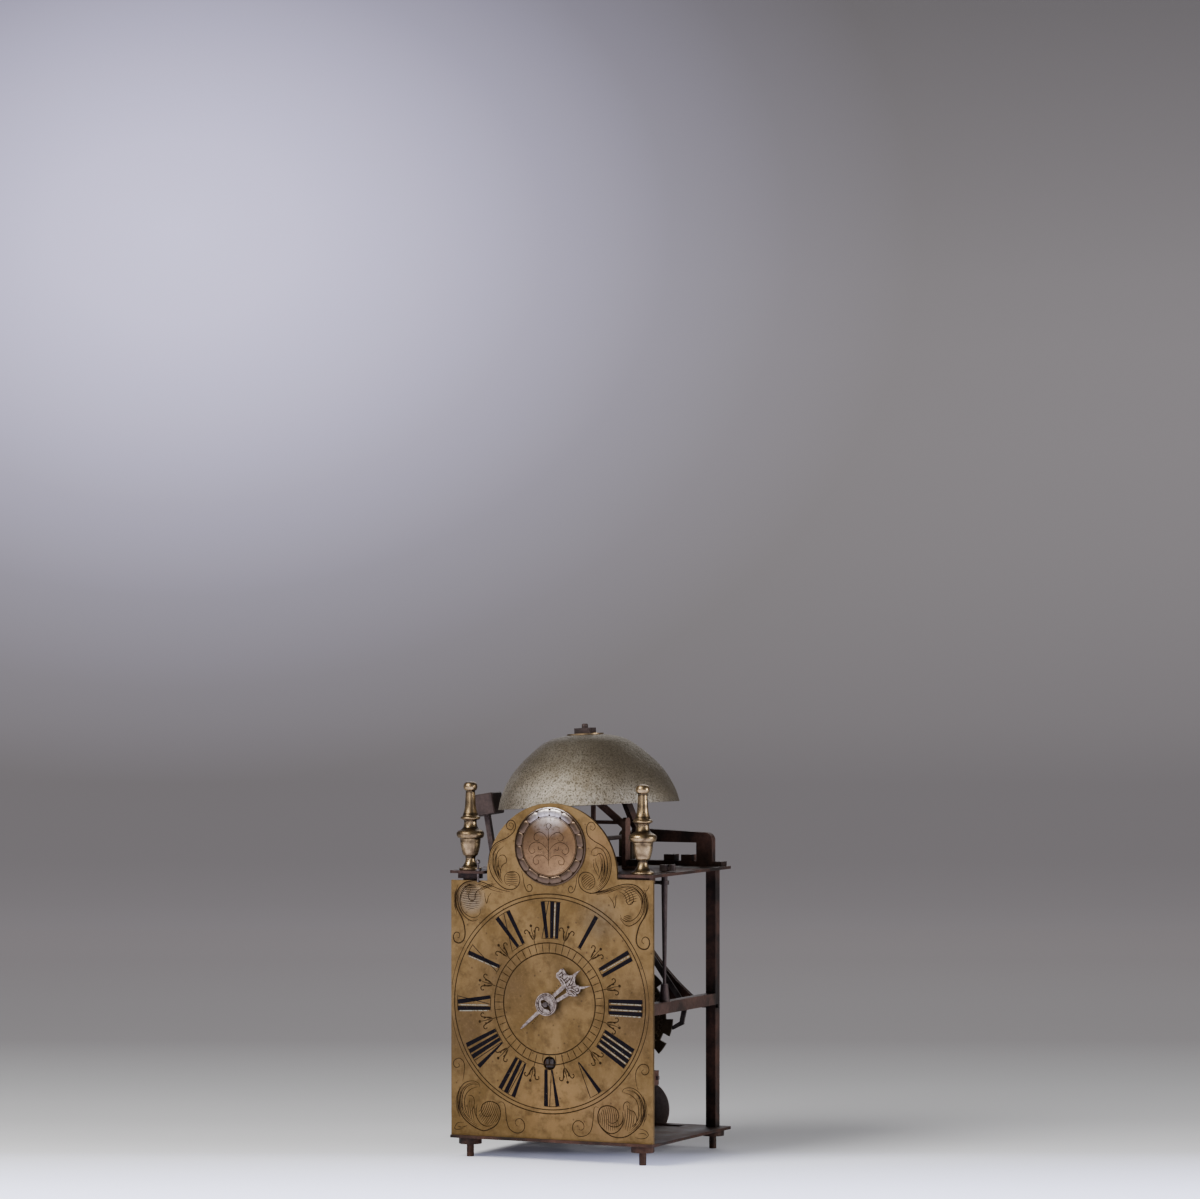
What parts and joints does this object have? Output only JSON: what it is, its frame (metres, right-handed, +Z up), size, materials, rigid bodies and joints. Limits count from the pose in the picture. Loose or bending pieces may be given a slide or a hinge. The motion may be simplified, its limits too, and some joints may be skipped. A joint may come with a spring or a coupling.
{
  "type": "lantern clock",
  "caption": "Posted-frame lantern clock with an arched engraved dial, one hand, a verge and rear pendulum, a count-wheel striking train and a bell above the top plate.",
  "frame": {"origin": "centre of the four feet, on the surface that the clock stands on", "axes": "+X to the right when facing the dial, +Y to the rear, +Z up"},
  "size_m": [0.1372, 0.1209, 0.2437],
  "materials": {
    "frame_iron": "dark brown forged iron, dull",
    "rust_iron": "rusty brown iron",
    "dial_brass": "aged golden brass, dull",
    "boss_brass": "darkened brass",
    "bright_brass": "cast and turned brass, worn bright",
    "wheel_brass": "aged brass",
    "bell_bronze": "grey-green patinated bell metal",
    "steel": "dull steel",
    "hand_steel": "pale grey cut steel",
    "bob_lead": "grey lead faced bob"
  },
  "bodies": {
    "frame": {"base_plate": "frame_iron", "top_plate": "frame_iron", "front_pillars": "frame_iron", "rear_pillars": "frame_iron", "feet": "frame_iron", "side_rails": "frame_iron", "rear_cross_bar": "frame_iron", "rear_brace_right": "frame_iron", "rear_brace_left": "frame_iron", "movement_bar_front": "frame_iron", "movement_bar_middle": "frame_iron", "movement_bar_rear": "frame_iron", "wedges": "rust_iron", "dial_plate": "dial_brass", "dial_boss": "boss_brass", "dial_lugs": "frame_iron", "dial_latch_pin": "steel", "finials": "bright_brass", "bell_bracket": "frame_iron", "stand_screws": "frame_iron", "bell": "bell_bronze", "bell_spindle": "rust_iron", "bell_washer": "bright_brass", "bell_nut": "rust_iron", "bell_strap": "frame_iron", "bell_stay": "rust_iron", "verge_cock_front": "wheel_brass", "verge_cock_rear": "wheel_brass", "crown_potence": "wheel_brass", "lever_cocks": "rust_iron", "hammer_spring": "frame_iron", "count_stud": "steel"},
    "great": {"great_wheel": "wheel_brass", "report_pinion": "steel"},
    "drum": {"winding_arbor": "steel", "going_drum": "wheel_brass"},
    "click": {"going_click": "steel"},
    "hand": {"hand_wheel": "wheel_brass", "hand_arbor": "steel", "hour_hand": "hand_steel", "hand_pin": "steel"},
    "second": {"second_wheel": "wheel_brass", "second_arbor": "steel"},
    "contrate": {"contrate_wheel": "wheel_brass", "contrate_arbor": "steel"},
    "crown": {"crown_wheel": "wheel_brass", "crown_arbor": "steel"},
    "pendulum": {"verge": "steel", "pendulum_rod": "steel", "pendulum_bob": "bob_lead"},
    "strike": {"strike_wheel": "wheel_brass", "strike_arbor": "steel"},
    "pulley": {"strike_pulley": "wheel_brass"},
    "hoop": {"hoop_wheel": "wheel_brass"},
    "fly": {"fly": "wheel_brass"},
    "count": {"count_wheel": "wheel_brass"},
    "hammer": {"hammer": "rust_iron", "hammer_head": "rust_iron"},
    "release": {"release_arbor": "rust_iron"},
    "detent": {"count_detent": "steel"}
  },
  "joints": [
    {"name": "second_spin", "type": "hinge", "parent": "frame", "child": "second", "pos_m": [0.004, -0.0192, 0.08346], "axis": [0, 1, 0], "continuous": true},
    {"name": "great_spin", "type": "hinge", "parent": "frame", "child": "great", "pos_m": [-0.001, -0.0324, 0.055], "axis": [0, 1, 0], "continuous": true},
    {"name": "winding_turn", "type": "hinge", "parent": "great", "child": "drum", "pos_m": [-0.001, -0.0212, 0.055], "axis": [0, 1, 0], "continuous": true},
    {"name": "click_lift", "type": "hinge", "parent": "great", "child": "click", "pos_m": [-0.01203, -0.0305, 0.06603], "axis": [0, 1, 0], "range_deg": [-8, 0]},
    {"name": "hand_turn", "type": "hinge", "parent": "frame", "child": "hand", "pos_m": [-0.0012, -0.0468, 0.0882], "axis": [0, 1, 0], "continuous": true},
    {"name": "contrate_spin", "type": "hinge", "parent": "frame", "child": "contrate", "pos_m": [-0.001, -0.0192, 0.1054], "axis": [0, 1, 0], "continuous": true},
    {"name": "crown_spin", "type": "hinge", "parent": "frame", "child": "crown", "pos_m": [-0.001, -0.01874, 0.1608], "axis": [0, 0, 1], "continuous": true},
    {"name": "pendulum_swing", "type": "hinge", "parent": "frame", "child": "pendulum", "pos_m": [-0.001, 0.0118, 0.1774], "axis": [0, 1, 0], "range_deg": [-6, 6]},
    {"name": "hoop_spin", "type": "hinge", "parent": "frame", "child": "hoop", "pos_m": [-0.0035, 0.0126, 0.0745], "axis": [0, 1, 0], "continuous": true},
    {"name": "strike_spin", "type": "hinge", "parent": "frame", "child": "strike", "pos_m": [0.0015, 0.0066, 0.0469], "axis": [0, 1, 0], "continuous": true},
    {"name": "pulley_turn", "type": "hinge", "parent": "strike", "child": "pulley", "pos_m": [0.0015, 0.0208, 0.0469], "axis": [0, 1, 0], "continuous": true},
    {"name": "fly_spin", "type": "hinge", "parent": "frame", "child": "fly", "pos_m": [0.0015, 0.0238, 0.09412], "axis": [0, 1, 0], "continuous": true},
    {"name": "count_turn", "type": "hinge", "parent": "frame", "child": "count", "pos_m": [0.0015, 0.0401, 0.0749], "axis": [0, 1, 0], "continuous": true},
    {"name": "hammer_swing", "type": "hinge", "parent": "frame", "child": "hammer", "pos_m": [-0.0465, 0.0048, 0.084], "axis": [0, 1, 0], "range_deg": [-9, 1]},
    {"name": "release_turn", "type": "hinge", "parent": "frame", "child": "release", "pos_m": [0.0535, -0.0189, 0.1608], "axis": [0, 0, 1], "range_deg": [-12, 12]},
    {"name": "detent_lift", "type": "hinge", "parent": "frame", "child": "detent", "pos_m": [0.0055, -0.0022, 0.1275], "axis": [0, 1, 0], "range_deg": [-8, 0]}
  ],
  "couplings": [
    {"joint": "great_spin", "follows": "second_spin", "ratio": -0.13333},
    {"joint": "hand_turn", "follows": "second_spin", "ratio": 0.033333},
    {"joint": "contrate_spin", "follows": "second_spin", "ratio": -9},
    {"joint": "crown_spin", "follows": "second_spin", "ratio": -72},
    {"joint": "strike_spin", "follows": "hoop_spin", "ratio": -0.1},
    {"joint": "count_turn", "follows": "hoop_spin", "ratio": 0.016667},
    {"joint": "fly_spin", "follows": "hoop_spin", "ratio": -8}
  ]
}
